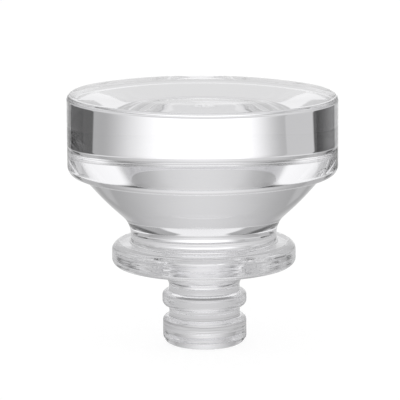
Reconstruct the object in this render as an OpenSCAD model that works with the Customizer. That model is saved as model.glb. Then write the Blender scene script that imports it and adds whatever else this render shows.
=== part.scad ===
// Pressed clear-glass bottle stopper: one solid of revolution.
// A drum head with a slightly crowned top tapers through a bowl and a short collar to the flange
// that sits on the bottle's lip. Below the flange a stem with one bead and one barrel carries the
// sealing sleeve.
// The stopper stands on its stem's end face, with +Z up along its axis.

/* [Head] */
// Diameter of the drum-shaped head
head_d = 46; // [44:0.5:60]
// Height of the head's straight band, from the bowl to the top edge
head_h = 13.5; // [8:0.5:24]
// Radius of the fire-polished edge round the top
head_top_round = 0.95; // [0.4:0.05:2]
// Radius of the rounded edge where the band turns under to the bowl
head_bottom_round = 1.5; // [0.4:0.1:2.5]
// Height of the top's flat middle above its edge
crown_h = 0.6; // [0.2:0.1:1]
// Width over which the top falls away to its edge
crown_roll_w = 4; // [2:0.5:6]
// Radius of the soft turn from the flat middle into that fall
crown_round = 40; // [10:5:60]

/* [Bowl and collar] */
// Diameter of the bowl where it meets the head's underside
bowl_top_d = 41.3; // [34:0.1:42]
// Height of the bowl
bowl_h = 8.4; // [5:0.1:14]
// How far the bowl's side bulges beyond a straight cone
bowl_bulge = 0.33; // [0.1:0.01:0.6]
// Radius of the gentle curve along the bowl's side
bowl_side_round = 40; // [15:1:60]
// Radius of the hollow curve from the bowl into the collar
bowl_foot_round = 4.7; // [1:0.1:6]
// Diameter of the collar that stands on the flange
collar_d = 24.9; // [20:0.1:28]
// Height of the collar, from the flange to the start of the bowl
collar_h = 3.3; // [1.5:0.1:8]

/* [Flange] */
// Diameter of the flange that covers the bottle's lip
flange_d = 31.4; // [29:0.1:33]
// Thickness of the flange
flange_h = 4; // [3:0.1:8]
// Radius of the flange's upper edge
flange_top_round = 1.5; // [0.3:0.1:1.6]
// Radius of the flange's lower edge
flange_bottom_round = 1.2; // [0.3:0.1:1.3]

/* [Stem] */
// Diameter of the stem's core, at the groove and at the neck
core_d = 12.1; // [9:0.1:13]
// Length of the neck's straight part above the bead
neck_h = 1.5; // [0.8:0.1:5]
// Height of the cone by which the neck widens into the flange
neck_cone_h = 3.1; // [1.5:0.1:5]
// How far the neck's radius grows over that cone
neck_cone_w = 2.6; // [1:0.1:4]
// Radius of the hollow curve at each end of the cone
neck_round = 1.5; // [0.3:0.1:2]
// Diameter of the bead
bead_d = 14.4; // [14:0.1:17]
// Length of the bead along the stem
bead_h = 2.6; // [1.5:0.1:5]
// Radius of the bead's edges
bead_round = 0.95; // [0.2:0.05:1.2]
// Width of the groove between the bead and the barrel
groove_w = 1.8; // [0.8:0.1:4]
// Diameter of the barrel at the stem's lower end
barrel_d = 14.3; // [14:0.1:17]
// Length of the barrel
barrel_h = 4.9; // [3.5:0.1:12]
// Radius of the barrel's upper edge
barrel_shoulder_round = 0.9; // [0.2:0.05:1.2]
// Radius of the barrel's lower edge, round the end face
barrel_end_round = 1.6; // [0.4:0.1:2]
// Radius of the small hollow corners where bead, groove and barrel meet the core
stem_corner_round = 0.3; // [0.1:0.05:0.5]

/* [Corners] */
// Radius of the small hollow corners at the collar's foot and under the head
inner_corner_round = 0.35; // [0.1:0.05:0.6]
// Largest turn of one step along a rounded corner, in degrees
arc_step = 10; // [5:1:15]

/* [Hidden] */
$fn = 96;

// Heights above the end face, counted up the stem
barrel_top_z = barrel_h;
bead_bottom_z = barrel_top_z + groove_w;
bead_top_z = bead_bottom_z + bead_h;
neck_top_z = bead_top_z + neck_h;
flange_bottom_z = neck_top_z + neck_cone_h;
flange_top_z = flange_bottom_z + flange_h;
bowl_bottom_z = flange_top_z + collar_h;
bowl_top_z = bowl_bottom_z + bowl_h;
edge_z = bowl_top_z + head_h;
top_z = edge_z + crown_h;

// The bowl's side: its two ends, and the middle point that its bulge pulls outward
bowl_foot = [collar_d / 2, bowl_bottom_z];
bowl_rim = [bowl_top_d / 2, bowl_top_z];
bowl_side = bowl_rim - bowl_foot;
bowl_outward = [bowl_side.y, -bowl_side.x] / norm(bowl_side);
bowl_middle = (bowl_foot + bowl_rim) / 2 + bowl_outward * bowl_bulge;

// Corners of the outline as [radius, height, rounding], from the end face to the top's middle
corners = [
    [0, 0, 0],
    [barrel_d / 2, 0, barrel_end_round],
    [barrel_d / 2, barrel_top_z, barrel_shoulder_round],
    [core_d / 2, barrel_top_z, stem_corner_round],
    [core_d / 2, bead_bottom_z, stem_corner_round],
    [bead_d / 2, bead_bottom_z, bead_round],
    [bead_d / 2, bead_top_z, bead_round],
    [core_d / 2, bead_top_z, stem_corner_round],
    [core_d / 2, neck_top_z, neck_round],
    [core_d / 2 + neck_cone_w, flange_bottom_z, neck_round],
    [flange_d / 2, flange_bottom_z, flange_bottom_round],
    [flange_d / 2, flange_top_z, flange_top_round],
    [collar_d / 2, flange_top_z, inner_corner_round],
    [bowl_foot.x, bowl_foot.y, bowl_foot_round],
    [bowl_middle.x, bowl_middle.y, bowl_side_round],
    [bowl_rim.x, bowl_rim.y, inner_corner_round],
    [head_d / 2, bowl_top_z, head_bottom_round],
    [head_d / 2, edge_z, head_top_round],
    [head_d / 2 - crown_roll_w, top_z, crown_round],
    [0, top_z, 0]
];

// Position of corner i of the outline
function at(i) = [corners[i].x, corners[i].y];

// Unit vector from corner i towards corner j
function towards(i, j) = (at(j) - at(i)) / norm(at(j) - at(i));

// Half of the angle between the two sides that meet at corner i
function half_angle(i) = acos(towards(i, i - 1) * towards(i, i + 1)) / 2;

// Length of side that the rounding of corner i asks for
function reach(i) =
    corners[i][2] == 0 ? 0 : corners[i][2] / tan(half_angle(i));

// Share of the two roundings that fit together on the side between corners i and j
function share(i, j) =
    let (wanted = reach(i) + reach(j))
    wanted == 0 ? 1 : min(1, norm(at(j) - at(i)) / wanted);

// Angle folded into the range from -180 to 180 degrees
function folded(angle) = angle - 360 * round(angle / 360);

// Points of corner i: the corner itself, or the arc that rounds it within its two sides
function corner_points(i) =
    let (rounding = corners[i][2] * min(share(i - 1, i), share(i, i + 1)))
    rounding == 0 ? [at(i)] :
    let (
        half = half_angle(i),
        side_a = towards(i, i - 1),
        side_b = towards(i, i + 1),
        centre = at(i) + (side_a + side_b) / norm(side_a + side_b) * rounding / sin(half),
        from_centre = at(i) + side_a * rounding / tan(half) - centre,
        to_centre = at(i) + side_b * rounding / tan(half) - centre,
        start = atan2(from_centre.y, from_centre.x),
        turn = folded(atan2(to_centre.y, to_centre.x) - start),
        steps = max(2, ceil(abs(turn) / arc_step))
    )
    [for (k = [0:steps]) centre + rounding * [cos(start + turn * k / steps),
                                              sin(start + turn * k / steps)]];

// Half-section of the glass, closed along the axis
module half_section() {
    rounded = [for (i = [1:len(corners) - 2]) each corner_points(i)];
    polygon(concat([at(0)], rounded, [at(len(corners) - 1)]));
}

// The whole stopper, one piece of clear glass
module stopper() {
    color([0.86, 0.89, 0.9, 0.45])
    rotate_extrude()
    half_section();
}

stopper();
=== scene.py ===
"""Pressed clear-glass bottle stopper on a pale studio floor.

The stopper is one piece of glass, turned from the outline of its stem, flange, collar, bowl and
head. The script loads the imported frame, builds the glass over it, and sets the studio round it.
"""

import logging
import math
from abc import ABC, abstractmethod
from dataclasses import dataclass, field
from enum import Enum
from typing import Any, Optional, Union

import bpy
from mathutils import Matrix, Vector


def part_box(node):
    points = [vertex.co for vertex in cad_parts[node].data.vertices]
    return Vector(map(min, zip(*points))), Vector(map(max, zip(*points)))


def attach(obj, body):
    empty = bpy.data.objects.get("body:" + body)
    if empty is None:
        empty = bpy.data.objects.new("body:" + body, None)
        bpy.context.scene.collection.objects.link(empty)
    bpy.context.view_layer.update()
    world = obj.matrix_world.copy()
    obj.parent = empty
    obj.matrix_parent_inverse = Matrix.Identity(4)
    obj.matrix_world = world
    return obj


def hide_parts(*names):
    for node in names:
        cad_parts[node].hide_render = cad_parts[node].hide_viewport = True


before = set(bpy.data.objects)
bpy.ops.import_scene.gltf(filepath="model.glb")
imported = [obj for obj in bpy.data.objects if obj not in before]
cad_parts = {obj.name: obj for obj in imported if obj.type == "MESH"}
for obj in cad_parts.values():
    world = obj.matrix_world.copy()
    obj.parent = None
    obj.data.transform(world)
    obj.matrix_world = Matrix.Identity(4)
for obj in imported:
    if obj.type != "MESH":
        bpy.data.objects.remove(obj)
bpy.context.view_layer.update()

log = logging.getLogger("stopper")

MM = 0.001
FULL_TURN = 2 * math.pi


def add_object(name: str, data: bpy.types.ID) -> bpy.types.Object:
    """Adds an object to the scene.

    Args:
        name: the object's name.
        data: its mesh or camera.

    Returns:
        The new object.
    """
    added = bpy.data.objects.new(name, data)
    bpy.context.scene.collection.objects.link(added)
    return added


def add_material(name: str) -> tuple[bpy.types.Material, "NodeGraph"]:
    """Makes a material without nodes.

    Args:
        name: the material's name.

    Returns:
        The material, and the graph that takes its nodes.
    """
    material = bpy.data.materials.new(name)
    material.use_nodes = True
    return material, NodeGraph(material.node_tree)


class NodeGraph:
    """Adds nodes to one shader or geometry tree."""

    def __init__(self, tree: bpy.types.NodeTree) -> None:
        """Takes a node tree to fill, and empties it."""
        self.tree = tree
        tree.nodes.clear()

    def add(
        self,
        kind: str,
        settings: Optional[dict[str, Any]] = None,
        inputs: Optional[dict[Union[str, int], Any]] = None,
    ) -> bpy.types.Node:
        """Adds one node.

        Args:
            kind: the node's type.
            settings: its properties, set before its sockets are read.
            inputs: values or links of its input sockets, by name or number.

        Returns:
            The new node.
        """
        node = self.tree.nodes.new(kind)
        for name, value in (settings or {}).items():
            setattr(node, name, value)
        for key, value in (inputs or {}).items():
            socket = node.inputs[key]
            source = value.socket if isinstance(value, Value) else value
            if isinstance(source, bpy.types.NodeSocket):
                self.tree.links.new(source, socket)
            else:
                socket.default_value = source
        return node

    def value(self, node: bpy.types.Node, output: Union[str, int] = 0) -> "Value":
        """Wraps one of a node's outputs for maths."""
        return Value(self, node.outputs[output])

    def split(self, vector: bpy.types.NodeSocket) -> tuple["Value", "Value", "Value"]:
        """Splits a vector socket into its X, Y and Z."""
        node = self.add("ShaderNodeSeparateXYZ", inputs={0: vector})
        return self.value(node, "X"), self.value(node, "Y"), self.value(node, "Z")

    def join(self, x: Any, y: Any, z: Any) -> bpy.types.NodeSocket:
        """Makes a vector socket of three numbers."""
        return self.add("ShaderNodeCombineXYZ", inputs={0: x, 1: y, 2: z}).outputs[0]


class Value:
    """A number in a node tree that takes part in Python expressions."""

    def __init__(self, graph: NodeGraph, socket: bpy.types.NodeSocket) -> None:
        """Keeps the graph and the socket that gives the number."""
        self.graph = graph
        self.socket = socket

    def maths(self, operation: str, *terms: Any) -> "Value":
        """Gives the result of a Math node's operation on terms, in their order."""
        node = self.graph.add("ShaderNodeMath", {"operation": operation}, dict(enumerate(terms)))
        return Value(self.graph, node.outputs[0])

    def __add__(self, other: Any) -> "Value":
        """Gives self + other."""
        return self.maths("ADD", self, other)

    def __radd__(self, other: Any) -> "Value":
        """Gives other + self."""
        return self.maths("ADD", other, self)

    def __sub__(self, other: Any) -> "Value":
        """Gives self - other."""
        return self.maths("SUBTRACT", self, other)

    def __rsub__(self, other: Any) -> "Value":
        """Gives other - self."""
        return self.maths("SUBTRACT", other, self)

    def __mul__(self, other: Any) -> "Value":
        """Gives self * other."""
        return self.maths("MULTIPLY", self, other)

    def __rmul__(self, other: Any) -> "Value":
        """Gives other * self."""
        return self.maths("MULTIPLY", other, self)

    def __truediv__(self, other: Any) -> "Value":
        """Gives self / other."""
        return self.maths("DIVIDE", self, other)

    def __rtruediv__(self, other: Any) -> "Value":
        """Gives other / self."""
        return self.maths("DIVIDE", other, self)

    def __abs__(self) -> "Value":
        """Gives the size of self without its sign."""
        return self.maths("ABSOLUTE", self)

    def floor(self) -> "Value":
        """Gives the whole part of self."""
        return self.maths("FLOOR", self)

    def root(self) -> "Value":
        """Gives the square root of self."""
        return self.maths("SQRT", self)

    def rise(self, low: Any, high: Any) -> "Value":
        """Gives a smooth step from 0 at low to 1 at high.

        Args:
            low: where the step starts.
            high: where it ends.

        Returns:
            The step, held at 0 and 1 outside the two.
        """
        node = self.graph.add(
            "ShaderNodeMapRange",
            {"interpolation_type": "SMOOTHSTEP"},
            {"Value": self, "From Min": low, "From Max": high},
        )
        return Value(self.graph, node.outputs[0])

    def band(self, low: float, high: float, soft: float) -> "Value":
        """Gives 1 between low and high and 0 outside, with edges as wide as soft."""
        half = soft / 2
        return self.rise(low - half, low + half) * (1 - self.rise(high - half, high + half))

    def bell(self, width: float) -> "Value":
        """Gives a bell curve of self that is 1 at zero and fades over the width."""
        return self.maths("EXPONENT", self * self * (-0.5 / width**2))

    def blend(self, low: float, high: float) -> "Value":
        """Takes self as the share of the way from one plain number to another."""
        return self * (high - low) + low

    def towards(self, other: Any, share: Any) -> "Value":
        """Moves a share of the way, from 0 to 1, from self to other."""
        return self + (other - self) * share


@dataclass(frozen=True)
class Corner:
    """A corner of the outline: radius from the axis, height and rounding, in millimetres."""

    r: float
    z: float
    rounding: float = 0.0

    @property
    def place(self) -> Vector:
        """The corner as a flat point."""
        return Vector((self.r, self.z))


@dataclass(frozen=True)
class Outline:
    """Rounded half-section of the stopper, given by its corners from stem end to top."""

    corners: tuple[Corner, ...]
    turn_step: float = math.radians(6)
    fewest_turn_steps: int = 4
    straight_step: float = 0.62
    edge_step: float = 0.08
    no_length: float = 1e-4

    def _half_angle(self, i: int) -> float:
        """Measures the corner.

        Args:
            i: the corner's number.

        Returns:
            Half of the angle between its two sides.
        """
        here = self.corners[i].place
        before = self.corners[i - 1].place - here
        after = self.corners[i + 1].place - here
        return before.angle(after) / 2

    def _reach(self, i: int) -> float:
        """Measures the corner's rounding along its sides.

        Args:
            i: the corner's number.

        Returns:
            Length of side that the rounding asks for.
        """
        if self.corners[i].rounding == 0:
            return 0.0
        return self.corners[i].rounding / math.tan(self._half_angle(i))

    def _share(self, i: int, j: int) -> float:
        """Measures how well two neighbours' roundings fit on the side between them.

        Args:
            i: one corner's number.
            j: the other's.

        Returns:
            The share of both roundings that fits, up to 1.
        """
        wanted = self._reach(i) + self._reach(j)
        side = (self.corners[i].place - self.corners[j].place).length
        return min(1.0, side / wanted) if wanted else 1.0

    def _arc(self, i: int) -> list[Vector]:
        """Gives the points that round corner i.

        Args:
            i: the corner's number.

        Returns:
            The points of its arc, or the corner itself where it is sharp.
        """
        corner = self.corners[i]
        rounding = corner.rounding * min(self._share(i - 1, i), self._share(i, i + 1))
        if rounding == 0:
            return [corner.place]
        half = self._half_angle(i)
        before = (self.corners[i - 1].place - corner.place).normalized()
        after = (self.corners[i + 1].place - corner.place).normalized()
        centre = corner.place + (before + after).normalized() * rounding / math.sin(half)
        first = corner.place + before * rounding / math.tan(half) - centre
        last = corner.place + after * rounding / math.tan(half) - centre
        start = math.atan2(first.y, first.x)
        turn = math.remainder(math.atan2(last.y, last.x) - start, FULL_TURN)
        steps = max(self.fewest_turn_steps, math.ceil(abs(turn) / self.turn_step))
        angles = [start + turn * k / steps for k in range(steps + 1)]
        return [centre + Vector((math.cos(a), math.sin(a))) * rounding for a in angles]

    def points(self) -> list[Vector]:
        """Gives the outline as evenly spaced points.

        Returns:
            Points from the axis at the stem's end to the axis at the top, with a narrow
            step beside each arc so that flat faces stay flat when they are smooth shaded.
        """
        last = len(self.corners) - 1
        arcs = [[self.corners[0].place]]
        arcs += [self._arc(i) for i in range(1, last)]
        arcs.append([self.corners[last].place])
        points = list(arcs[0])
        for arc in arcs[1:]:
            start, end = points[-1], arc[0]
            side = (end - start).length
            inner = side - 2 * self.edge_step
            if inner > 2 * self.edge_step:
                along = (end - start) / side
                steps = max(1, math.ceil(inner / self.straight_step))
                points += [
                    start + along * (self.edge_step + inner * k / steps)
                    for k in range(steps + 1)
                ]
            points += arc if side > self.no_length else arc[1:]
        return points


class Wave(Enum):
    """Unevenness that pressing leaves on the glass: height and length of its waves."""

    STEM = (0.006, 2.5)
    HEAD = (0.003, 7.0)

    @property
    def height(self) -> float:
        """Height of the waves in millimetres."""
        return self.value[0]

    @property
    def length(self) -> float:
        """Length of the waves in millimetres."""
        return self.value[1]


@dataclass(frozen=True)
class ClearGlass:
    """Clear, fire-polished soda-lime glass with faint level streaks and a dull end face.

    Lengths are in millimetres, and the pairs are heights between which a finish fades away.
    """

    name: str = "clear_glass"
    tint: tuple[float, float, float] = (0.984, 0.981, 1.0)
    refraction: float = 1.5
    polish: float = 0.0
    dull: float = 0.02
    dull_edge: tuple[float, float] = (0.05, 0.6)
    streak_height: float = 0.0002
    streak_length: float = 40.0
    streak_width: float = 0.9
    streak_detail: float = 2.0
    streak_roughness: float = 0.55
    streaks_end: tuple[float, float] = (16.5, 19.5)
    seed: float = 7.0

    def material(self) -> bpy.types.Material:
        """Builds the glass material.

        Returns:
            The material, read in the stopper's own coordinates.
        """
        material, graph = add_material(self.name)
        x, y, z = graph.split(graph.add("ShaderNodeTexCoord").outputs["Object"])
        height = z / MM
        scale = 1 / (self.streak_length * MM)
        squeeze = self.streak_length / self.streak_width
        streaks = graph.add(
            "ShaderNodeTexNoise",
            {"noise_dimensions": "4D"},
            {
                "Vector": graph.join(x * scale, y * scale, z * (scale * squeeze)),
                "W": self.seed,
                "Scale": 1.0,
                "Detail": self.streak_detail,
                "Roughness": self.streak_roughness,
            },
        )
        strength = 1 - height.rise(*self.streaks_end)
        bump = graph.add(
            "ShaderNodeBump",
            inputs={
                "Strength": 1.0,
                "Distance": self.streak_height,
                "Height": graph.value(streaks, 0) * strength,
            },
        )
        dull = (1 - height.rise(*self.dull_edge)).blend(self.polish, self.dull)
        glass = graph.add(
            "ShaderNodeBsdfPrincipled",
            inputs={
                "Base Color": (*self.tint, 1.0),
                "Transmission Weight": 1.0,
                "IOR": self.refraction,
                "Roughness": dull,
                "Normal": bump.outputs["Normal"],
            },
        )
        graph.add("ShaderNodeOutputMaterial", inputs={"Surface": glass.outputs[0]})
        return material


@dataclass(frozen=True)
class PressTolerance:
    """How far the press leaves the glass from true. Lengths are in millimetres.

    The stem's end stands aside of the axis and comes back to it at a height. The top leans from
    one height to another. The waves change from the stem's to the head's between two heights.
    """

    stem_aside: float = 0.22
    aside_below: float = 33.0
    top_lean: float = math.radians(0.45)
    lean_from: float = 32.0
    lean_to: float = 41.0
    calm_from: float = 18.0
    calm_to: float = 22.0
    wave_detail: float = 1.0


@dataclass
class GlassStopper:
    """The stopper's one piece of glass. Sizes are in millimetres, up the stem from its end."""

    node: str = "stopper"
    slot: str = "clear_glass"
    body: str = "root"
    barrel_d: float = 14.3
    barrel_h: float = 4.9
    barrel_end_round: float = 1.6
    barrel_shoulder_round: float = 0.9
    core_d: float = 12.1
    groove_w: float = 1.8
    bead_d: float = 14.4
    bead_h: float = 2.6
    bead_round: float = 0.95
    neck_h: float = 1.5
    neck_cone_h: float = 3.1
    neck_cone_w: float = 2.6
    neck_round: float = 1.5
    stem_corner_round: float = 0.3
    flange_d: float = 31.4
    flange_h: float = 4.0
    flange_top_round: float = 1.5
    flange_bottom_round: float = 1.2
    collar_d: float = 24.9
    collar_h: float = 3.3
    bowl_foot_round: float = 4.7
    bowl_h: float = 8.4
    bowl_bulge: float = 0.33
    bowl_side_round: float = 40.0
    bowl_top_d: float = 41.3
    inner_corner_round: float = 0.35
    head_bottom_round: float = 1.5
    head_top_round: float = 0.95
    crown_h: float = 0.6
    crown_roll_w: float = 4.0
    crown_round: float = 40.0
    segments: int = 288
    weld: float = 0.0001
    glass: ClearGlass = field(default_factory=ClearGlass)
    tolerance: PressTolerance = field(default_factory=PressTolerance)

    def _corners(self) -> tuple[Corner, ...]:
        """Lists the outline's corners, fitted to the CAD solid's width and height.

        Returns:
            The corners from the stem's end to the top of the head.
        """
        low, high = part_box(self.node)
        head_r = (high.x - low.x) / MM / 2
        top = high.z / MM
        groove = self.barrel_h + self.groove_w
        bead = groove + self.bead_h
        neck = bead + self.neck_h
        flange = neck + self.neck_cone_h
        collar = flange + self.flange_h
        bowl = collar + self.collar_h
        head = bowl + self.bowl_h
        foot = Vector((self.collar_d / 2, bowl))
        rim = Vector((self.bowl_top_d / 2, head))
        side = rim - foot
        middle = (foot + rim) / 2 + Vector((side.y, -side.x)).normalized() * self.bowl_bulge
        core = self.core_d / 2
        return (
            Corner(0, 0),
            Corner(self.barrel_d / 2, 0, self.barrel_end_round),
            Corner(self.barrel_d / 2, self.barrel_h, self.barrel_shoulder_round),
            Corner(core, self.barrel_h, self.stem_corner_round),
            Corner(core, groove, self.stem_corner_round),
            Corner(self.bead_d / 2, groove, self.bead_round),
            Corner(self.bead_d / 2, bead, self.bead_round),
            Corner(core, bead, self.stem_corner_round),
            Corner(core, neck, self.neck_round),
            Corner(core + self.neck_cone_w, flange, self.neck_round),
            Corner(self.flange_d / 2, flange, self.flange_bottom_round),
            Corner(self.flange_d / 2, collar, self.flange_top_round),
            Corner(self.collar_d / 2, collar, self.inner_corner_round),
            Corner(foot.x, foot.y, self.bowl_foot_round),
            Corner(middle.x, middle.y, self.bowl_side_round),
            Corner(rim.x, rim.y, self.inner_corner_round),
            Corner(head_r, head, self.head_bottom_round),
            Corner(head_r, top - self.crown_h, self.head_top_round),
            Corner(head_r - self.crown_roll_w, top, self.crown_round),
            Corner(0, top),
        )

    def _lathe_tree(self) -> bpy.types.NodeTree:
        """Builds the geometry nodes that turn an outline into a waved solid.

        Returns:
            The tree, with named inputs for its segments, tolerances, waves, seed and
            material.
        """
        tree = bpy.data.node_groups.new("turned_glass", "GeometryNodeTree")
        graph = NodeGraph(tree)
        sockets = tree.interface
        sockets.new_socket("Outline", in_out="INPUT", socket_type="NodeSocketGeometry")
        for name, kind in (
            ("Segments", "NodeSocketInt"),
            ("Stem Aside", "NodeSocketFloat"),
            ("Aside Below", "NodeSocketFloat"),
            ("Top Lean", "NodeSocketFloat"),
            ("Lean From", "NodeSocketFloat"),
            ("Lean To", "NodeSocketFloat"),
            ("Stem Wave Height", "NodeSocketFloat"),
            ("Stem Wave Length", "NodeSocketFloat"),
            ("Head Wave Height", "NodeSocketFloat"),
            ("Head Wave Length", "NodeSocketFloat"),
            ("Wave Detail", "NodeSocketFloat"),
            ("Calm From", "NodeSocketFloat"),
            ("Calm To", "NodeSocketFloat"),
            ("Weld", "NodeSocketFloat"),
            ("Seed", "NodeSocketFloat"),
            ("Glass", "NodeSocketMaterial"),
        ):
            sockets.new_socket(name, in_out="INPUT", socket_type=kind)
        sockets.new_socket("Solid", in_out="OUTPUT", socket_type="NodeSocketGeometry")
        given = graph.add("NodeGroupInput").outputs
        segments = Value(graph, given["Segments"])

        size = graph.add(
            "GeometryNodeAttributeDomainSize",
            {"component": "MESH"},
            {"Geometry": given["Outline"]},
        )
        rows = segments + 1
        grid = graph.add(
            "GeometryNodeMeshGrid",
            inputs={"Vertices X": size.outputs["Point Count"], "Vertices Y": rows},
        )
        index = graph.value(graph.add("GeometryNodeInputIndex"))
        point = ((index + 0.5) / rows).floor()
        turn = (index - point * rows) / segments * FULL_TURN
        outline_place = graph.add("GeometryNodeInputPosition").outputs[0]
        sample = graph.add(
            "GeometryNodeSampleIndex",
            {"data_type": "FLOAT_VECTOR", "domain": "POINT"},
            {"Geometry": given["Outline"], "Value": outline_place, "Index": point},
        )
        radius, _, height = graph.split(sample.outputs[0])
        across = radius * turn.maths("COSINE", turn)
        below = 1 - height.maths("MINIMUM", height / Value(graph, given["Aside Below"]), 1.0)
        leaning = height.rise(given["Lean From"], given["Lean To"])
        turned = graph.add(
            "GeometryNodeSetPosition",
            inputs={
                "Geometry": grid.outputs["Mesh"],
                "Position": graph.join(
                    across + below * Value(graph, given["Stem Aside"]),
                    radius * turn.maths("SINE", turn),
                    height - across * leaning * Value(graph, given["Top Lean"]),
                ),
            },
        )
        outward = graph.add("GeometryNodeFlipFaces", inputs={"Mesh": turned.outputs[0]})
        closed = graph.add(
            "GeometryNodeMergeByDistance",
            inputs={"Geometry": outward.outputs[0], "Distance": given["Weld"]},
        )
        place = graph.add("GeometryNodeInputPosition").outputs[0]
        _, _, level = graph.split(place)
        share = level.rise(given["Calm From"], given["Calm To"])
        waves = [self._waves(graph, place, given, part) for part in ("Stem", "Head")]
        normal = graph.add("GeometryNodeInputNormal").outputs[0]
        offset = graph.add(
            "ShaderNodeVectorMath",
            {"operation": "SCALE"},
            {"Vector": normal, "Scale": waves[0].towards(waves[1], share)},
        )
        waved = graph.add(
            "GeometryNodeSetPosition",
            inputs={"Geometry": closed.outputs[0], "Offset": offset.outputs[0]},
        )
        smooth = graph.add("GeometryNodeSetShadeSmooth", inputs={"Geometry": waved.outputs[0]})
        real = graph.add("GeometryNodeRealizeInstances", inputs={"Geometry": smooth.outputs[0]})
        glass = graph.add(
            "GeometryNodeSetMaterial",
            inputs={"Geometry": real.outputs[0], "Material": given["Glass"]},
        )
        graph.add("NodeGroupOutput", inputs={0: glass.outputs[0]})
        return tree

    @staticmethod
    def _waves(graph: NodeGraph, place: bpy.types.NodeSocket, given: Any, part: str) -> Value:
        """Adds the waves of one part of the glass.

        Args:
            graph: the geometry graph.
            place: the socket that gives each point's place.
            given: the group's inputs.
            part: Stem or Head.

        Returns:
            How far each point moves along its normal.
        """
        length = Value(graph, given[part + " Wave Length"])
        height = Value(graph, given[part + " Wave Height"])
        noise = graph.add(
            "ShaderNodeTexNoise",
            {"noise_dimensions": "4D"},
            {
                "Vector": place,
                "W": given["Seed"],
                "Scale": 1 / length,
                "Detail": given["Wave Detail"],
            },
        )
        return (graph.value(noise, 0) - 0.5) * 2 * height

    def build(self) -> bpy.types.Object:
        """Builds the glass and puts it in the CAD solid's place.

        Returns:
            The finished piece.
        """
        outline = Outline(self._corners()).points()
        mesh = bpy.data.meshes.new("outline")
        mesh.from_pydata(
            [(p.x * MM, 0, p.y * MM) for p in outline],
            [(i, i + 1) for i in range(len(outline) - 1)],
            [],
        )
        turned = add_object("turned_outline", mesh)
        tree = self._lathe_tree()
        lathe = turned.modifiers.new("lathe", "NODES")
        lathe.node_group = tree
        material = self.glass.material()
        settings = {
            "Segments": self.segments,
            "Stem Aside": self.tolerance.stem_aside * MM,
            "Aside Below": self.tolerance.aside_below * MM,
            "Top Lean": self.tolerance.top_lean,
            "Lean From": self.tolerance.lean_from * MM,
            "Lean To": self.tolerance.lean_to * MM,
            "Stem Wave Height": Wave.STEM.height * MM,
            "Stem Wave Length": Wave.STEM.length * MM,
            "Head Wave Height": Wave.HEAD.height * MM,
            "Head Wave Length": Wave.HEAD.length * MM,
            "Wave Detail": self.tolerance.wave_detail,
            "Calm From": self.tolerance.calm_from * MM,
            "Calm To": self.tolerance.calm_to * MM,
            "Weld": self.weld * MM,
            "Seed": self.glass.seed,
            "Glass": material,
        }
        for item in tree.interface.items_tree:
            if item.name in settings:
                lathe[item.identifier] = settings[item.name]
        evaluated = turned.evaluated_get(bpy.context.evaluated_depsgraph_get())
        solid = bpy.data.meshes.new_from_object(evaluated)
        turned.modifiers.remove(lathe)
        bpy.data.objects.remove(turned)
        solid.name = "glass_body"
        piece = add_object("glass_body", solid)
        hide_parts(self.node)
        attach(piece, self.body)
        return piece


@dataclass(frozen=True)
class Backdrop:
    """Plain white surroundings."""

    light: float = 1.0

    def build(self) -> None:
        """Makes the white world."""
        world = bpy.data.worlds.new("backdrop")
        world.use_nodes = True
        bpy.context.scene.world = world
        graph = NodeGraph(world.node_tree)
        white = graph.add(
            "ShaderNodeBackground", inputs={"Color": (1, 1, 1, 1), "Strength": self.light}
        )
        graph.add("ShaderNodeOutputWorld", inputs={"Surface": white.outputs[0]})


@dataclass(frozen=True)
class Table:
    """White table that the stopper stands on, and shades a little. Its size is in metres."""

    size: float = 12.0
    drop: float = 0.00002
    own_light: float = 0.84
    colour: float = 0.3

    def build(self) -> bpy.types.Object:
        """Lays the table.

        Returns:
            The table.
        """
        half = self.size / 2
        mesh = bpy.data.meshes.new("table")
        mesh.from_pydata(
            [(-half, -half, 0), (half, -half, 0), (half, half, 0), (-half, half, 0)],
            [],
            [(0, 1, 2, 3)],
        )
        table = add_object("table", mesh)
        table.location.z = -self.drop
        material, graph = add_material("white_table")
        own = graph.add("ShaderNodeEmission", inputs={"Strength": self.own_light})
        paint = graph.add(
            "ShaderNodeBsdfDiffuse",
            inputs={"Color": (self.colour, self.colour, self.colour, 1)},
        )
        both = graph.add("ShaderNodeAddShader", inputs={0: own.outputs[0], 1: paint.outputs[0]})
        graph.add("ShaderNodeOutputMaterial", inputs={"Surface": both.outputs[0]})
        mesh.materials.append(material)
        return table


class Cloth(ABC):
    """Glowing cloth of the studio, its light graded by place, which the camera looks past and the
    glass shows.
    """

    name: str

    @abstractmethod
    def light(self, x: Value, y: Value, z: Value) -> Value:
        """Gives the cloth's brightness at a place, in metres from the stopper's foot."""

    def hang(
        self, corners: list[tuple[float, float, float]], faces: list[tuple[int, ...]]
    ) -> bpy.types.Object:
        """Hangs the cloth.

        Args:
            corners: its corners in metres.
            faces: its faces, by corner numbers.

        Returns:
            The cloth.
        """
        mesh = bpy.data.meshes.new(self.name)
        mesh.from_pydata(corners, [], faces)
        cloth = add_object(self.name, mesh)
        cloth.visible_camera = False
        material, graph = add_material(self.name)
        x, y, z = graph.split(graph.add("ShaderNodeTexCoord").outputs["Object"])
        lit = graph.add("ShaderNodeEmission", inputs={"Color": self.light(x, y, z)})
        graph.add("ShaderNodeOutputMaterial", inputs={"Surface": lit.outputs[0]})
        mesh.materials.append(material)
        return cloth


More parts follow.
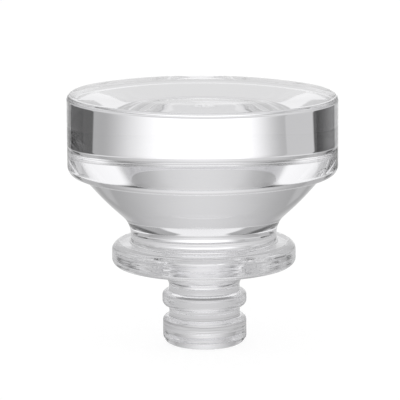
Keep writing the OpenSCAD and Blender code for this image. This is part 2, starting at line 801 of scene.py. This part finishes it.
@dataclass(frozen=True)
class Tent(Cloth):
    """Light tent round the table, whose sides and roof glow.

    Its grading goes by turn from straight behind, the same to both sides, and by rise from
    level, both in degrees. A pair named turn or rise says where a step starts and ends, or
    where a card does. Its width and height are in metres.
    """

    name: str = "tent"
    half_width: float = 5.5
    height: float = 6.0
    spread: float = 17.2
    middle_low: float = 0.854
    middle: float = 0.69
    middle_rise: tuple[float, float] = (9.0, 14.0)
    middle_high: float = 0.734
    middle_high_rise: tuple[float, float] = (19.0, 25.0)
    roof: float = 1.0
    roof_rise: tuple[float, float] = (44.0, 52.0)
    side: float = 0.284
    side_high: float = 0.59
    side_high_rise: tuple[float, float] = (26.0, 35.0)
    beside: float = 0.57
    beside_turn: tuple[float, float] = (44.0, 72.0)
    card: float = 0.44
    card_turn: tuple[float, float] = (36.4, 62.7)
    card_rise: tuple[float, float] = (23.6, 25.6)
    flag: float = 0.08
    flag_turn: tuple[float, float] = (52.9, 63.3)
    flag_rise: tuple[float, float] = (17.0, 19.0)
    card_softness: float = 4.0
    dark: float = 0.092
    dark_turn: tuple[float, float] = (45.2, 65.2)
    dark_rise: tuple[float, float] = (40.9, 48.9)
    rear_low: float = 0.62
    rear: float = 0.61
    rear_rise: tuple[float, float] = (20.0, 26.0)
    rear_turn: tuple[float, float] = (117.4, 141.4)
    lamp: float = 1.0
    lamp_turn: float = 100.5
    lamp_rise: float = 12.8
    lamp_width: float = 22.8
    lamp_height: float = 27.6
    lamp_rim: tuple[float, float] = (0.75, 1.25)
    edge: float = 0.388
    edge_rise: tuple[float, float] = (53.4, 59.4)
    edge_turn: tuple[float, float] = (118.0, 136.0)
    top: float = 0.894
    top_rise: tuple[float, float] = (68.5, 72.5)

    def build(self) -> bpy.types.Object:
        """Puts up the tent's four walls and roof.

        Returns:
            The tent.
        """
        w, h = self.half_width, self.height
        corners = [(x, y, z) for z in (0, h) for x, y in ((-w, -w), (w, -w), (w, w), (-w, w))]
        walls = [(i, i + 4, (i + 1) % 4 + 4, (i + 1) % 4) for i in range(4)]
        return self.hang(corners, [*walls, (4, 7, 6, 5)])

    def light(self, x: Value, y: Value, z: Value) -> Value:
        """Grades the tent's cloth, card by card.

        Args:
            x: metres to the right of the stopper's foot.
            y: metres behind it.
            z: metres above it.

        Returns:
            The cloth's brightness, where 1 is white.
        """
        turn = abs(x.maths("ARCTAN2", x, y)) * math.degrees(1)
        away = (x * x + y * y).root()
        rise = z.maths("ARCTAN2", z, away) * math.degrees(1)
        middle = rise.rise(*self.middle_rise).blend(self.middle_low, self.middle)
        middle = middle.towards(self.middle_high, rise.rise(*self.middle_high_rise))
        middle = middle.towards(self.roof, rise.rise(*self.roof_rise))
        side = rise.rise(*self.side_high_rise).blend(self.side, self.side_high)
        cloth = side.towards(middle, turn.bell(self.spread))
        cloth = cloth.towards(self.beside, turn.rise(*self.beside_turn))
        for low, card_turn, card_rise in (
            (self.card, self.card_turn, self.card_rise),
            (self.flag, self.flag_turn, self.flag_rise),
        ):
            card = turn.band(*card_turn, self.card_softness) * (1 - rise.rise(*card_rise))
            cloth = cloth.towards(low, card)
        dark = turn.rise(*self.dark_turn) * rise.rise(*self.dark_rise)
        cloth = cloth.towards(self.dark, dark)
        rear = rise.rise(*self.rear_rise).blend(self.rear_low, self.rear)
        cloth = cloth.towards(rear, turn.rise(*self.rear_turn))
        across = (turn - self.lamp_turn) / self.lamp_width
        up = (rise - self.lamp_rise) / self.lamp_height
        lamp = 1 - (across * across + up * up).rise(*self.lamp_rim)
        cloth = cloth.towards(self.lamp, lamp)
        edge = rise.rise(*self.edge_rise)
        front = 1 - turn.rise(*self.edge_turn)
        cloth = cloth.towards(self.edge, edge * front)
        top = rise.rise(*self.top_rise)
        return cloth.towards(self.top, top.maths("MAXIMUM", top, edge * (1 - front)))


@dataclass(frozen=True)
class Card:
    """Dark card on the mat: where it starts and ends by turn, and its brightness there."""

    turn: tuple[float, float]
    light: tuple[float, float]


@dataclass(frozen=True)
class Mat(Cloth):
    """Grey cloth and cards that lie on the table round the stopper. They glow with painted light
    and shade that only the glass sees: a painted shadow round the foot, painted pools of light
    behind it, and painted lamp glow to its sides.

    Their grading goes by turn from straight behind, in degrees, above zero to the right, and by
    the way off in millimetres. A pair named turn or away says where a step starts and ends.
    """

    name: str = "mat"
    start: float = 8.0
    end: float = 6000.0
    sides: int = 96
    spread: float = 14.0
    near: float = 0.516
    near_middle: float = 0.644
    # Painted contact shadow: the mat darkens close round the stem's foot.
    foot: float = 0.12
    painted_foot_shadow_away: tuple[float, float] = (3.6, 19.6)
    # Painted pool of light on the mat straight behind the stopper, between two distances.
    painted_light_pool: float = 0.927
    painted_light_pool_away: tuple[float, float] = (71.0, 110.0)
    painted_light_pool_softness: float = 11.0
    ring: float = 0.654
    ring_away: tuple[float, float] = (104.0, 116.0)
    far_away: tuple[float, float] = (140.0, 175.0)
    # Painted pool of lamp light far behind the stopper, brighter than white, parted into left and
    # right.
    painted_glow: float = 1.17
    painted_glow_left_turn: tuple[float, float] = (8.0, 22.0)
    painted_glow_right_turn: tuple[float, float] = (5.3, 31.3)
    glow_parting: tuple[float, float] = (-0.5, 0.5)
    side_left: float = 0.44
    side_right: float = 0.36
    panel: float = 0.54
    panel_turn: tuple[float, float] = (22.0, 22.8)
    beyond: float = 0.742
    beyond_side: float = 0.53
    beyond_side_turn: tuple[float, float] = (36.0, 48.0)
    beyond_turn: tuple[float, float] = (14.0, 22.0)
    beyond_away: tuple[float, float] = (415.0, 425.0)
    # Painted lamp glow on the mat to both sides.
    beside: float = 0.835
    beside_turn: tuple[float, float] = (66.0, 80.0)
    rear: float = 0.646
    rear_turn: tuple[float, float] = (118.0, 126.0)
    cards: tuple[Card, ...] = (
        Card(turn=(-64.0, -36.9), light=(0.24, 0.03)),
        Card(turn=(36.0, 72.7), light=(0.03, 0.03)),
    )
    card_away: tuple[float, float] = (175.0, 400.0)
    card_end_softness: float = 6.0
    card_side_softness: float = 1.5

    def build(self) -> bpy.types.Object:
        """Lays the mat as a wide ring, which casts no light or shadow on the table.

        Returns:
            The mat.
        """
        count = self.sides
        turns = [FULL_TURN * i / count for i in range(count)]
        corners = [
            (r * MM * math.cos(a), r * MM * math.sin(a), 0.0)
            for r in (self.start, self.end)
            for a in turns
        ]
        faces = [(i, i + count, (i + 1) % count + count, (i + 1) % count) for i in range(count)]
        mat = self.hang(corners, faces)
        mat.visible_diffuse = False
        mat.visible_shadow = False
        mat.data.materials[0].cycles.emission_sampling = "NONE"
        return mat

    def light(self, x: Value, y: Value, z: Value) -> Value:
        """Paints the mat's light and shade, with its cards.

        Args:
            x: metres to the right of the stopper's foot.
            y: metres behind it.
            z: metres above it; not used.

        Returns:
            The mat's painted brightness, where 1 is white.
        """
        away = (x * x + y * y).root() / MM
        turn = x.maths("ARCTAN2", x, y) * math.degrees(1)
        wide = abs(turn)
        ahead = turn.bell(self.spread)
        near = ahead.blend(self.near, self.near_middle)
        # Painted shadow round the stem's foot.
        near = near.towards(self.foot, 1 - away.rise(*self.painted_foot_shadow_away))
        # Painted pool of light straight behind.
        painted_light_pool = away.band(*self.painted_light_pool_away, self.painted_light_pool_softness)
        near = near.towards(self.painted_light_pool, ahead * painted_light_pool)
        near = near.towards(self.ring, away.rise(*self.ring_away))
        # Painted pool of lamp light far behind, fading to grey at each side.
        right = wide.rise(*self.painted_glow_right_turn).blend(self.painted_glow, self.side_right)
        left = wide.rise(*self.painted_glow_left_turn).blend(self.painted_glow, self.side_left)
        left = left.towards(self.panel, wide.rise(*self.panel_turn))
        far = left.towards(right, turn.rise(*self.glow_parting))
        beyond = wide.rise(*self.beyond_side_turn).blend(self.beyond, self.beyond_side)
        is_beyond = wide.rise(*self.beyond_turn) * away.rise(*self.beyond_away)
        far = far.towards(beyond, is_beyond)
        # Painted lamp glow to both sides.
        far = far.towards(self.beside, wide.rise(*self.beside_turn))
        far = far.towards(self.rear, wide.rise(*self.rear_turn))
        ring = away.band(*self.card_away, self.card_end_softness)
        for card in self.cards:
            dark = turn.rise(*card.turn).blend(*card.light)
            far = far.towards(dark, turn.band(*card.turn, self.card_side_softness) * ring)
        return near.towards(far, away.rise(*self.far_away))


@dataclass(frozen=True)
class Studio:
    """The white surroundings, the table, and the light tent with its mat."""

    backdrop: Backdrop = field(default_factory=Backdrop)
    table: Table = field(default_factory=Table)
    tent: Tent = field(default_factory=Tent)
    mat: Mat = field(default_factory=Mat)

    def build(self) -> None:
        """Builds the studio."""
        for part in (self.backdrop, self.table, self.tent, self.mat):
            part.build()


@dataclass(frozen=True)
class StudioCamera:
    """The camera, aimed at a point on the stopper. Lengths are in millimetres."""

    distance: float = 450.0
    above: float = math.radians(10.71)
    lean: float = math.radians(-0.30)
    aim: tuple[float, float, float] = (-0.503, 0.0, 24.857)
    lens: float = 237.735
    film: float = 36.0
    nearest: float = 10.0

    def build(self) -> bpy.types.Object:
        """Makes the scene's camera.

        Returns:
            The camera.
        """
        data = bpy.data.cameras.new("camera")
        data.lens = self.lens
        data.sensor_width = self.film
        data.clip_start = self.nearest * MM
        camera = add_object("camera", data)
        ahead = Vector((0, math.cos(self.above), -math.sin(self.above)))
        place = (Vector(self.aim) - ahead * self.distance) * MM
        level = Matrix.Rotation(math.pi / 2 - self.above, 4, "X")
        roll = Matrix.Rotation(self.lean, 4, "Z")
        camera.matrix_world = Matrix.Translation(place) @ level @ roll
        bpy.context.scene.camera = camera
        return camera


def follow_light_through_glass(bounces: int = 24) -> None:
    """Lets light be followed through the many reflections inside solid glass.

    Args:
        bounces: how many times one ray may bounce.
    """
    cycles = bpy.context.scene.cycles
    cycles.max_bounces = bounces
    cycles.glossy_bounces = bounces
    cycles.transmission_bounces = bounces


def main() -> None:
    """Builds the stopper, the studio and the camera."""
    logging.basicConfig(level=logging.INFO, format="%(name)s: %(message)s")
    bpy.context.scene.view_settings.view_transform = "Standard"
    follow_light_through_glass()
    piece = GlassStopper().build()
    log.info("built %s with %d faces", piece.name, len(piece.data.polygons))
    Studio().build()
    log.info("built the studio")
    camera = StudioCamera().build()
    log.info("placed %s", camera.name)


if __name__ == "__main__":
    main()
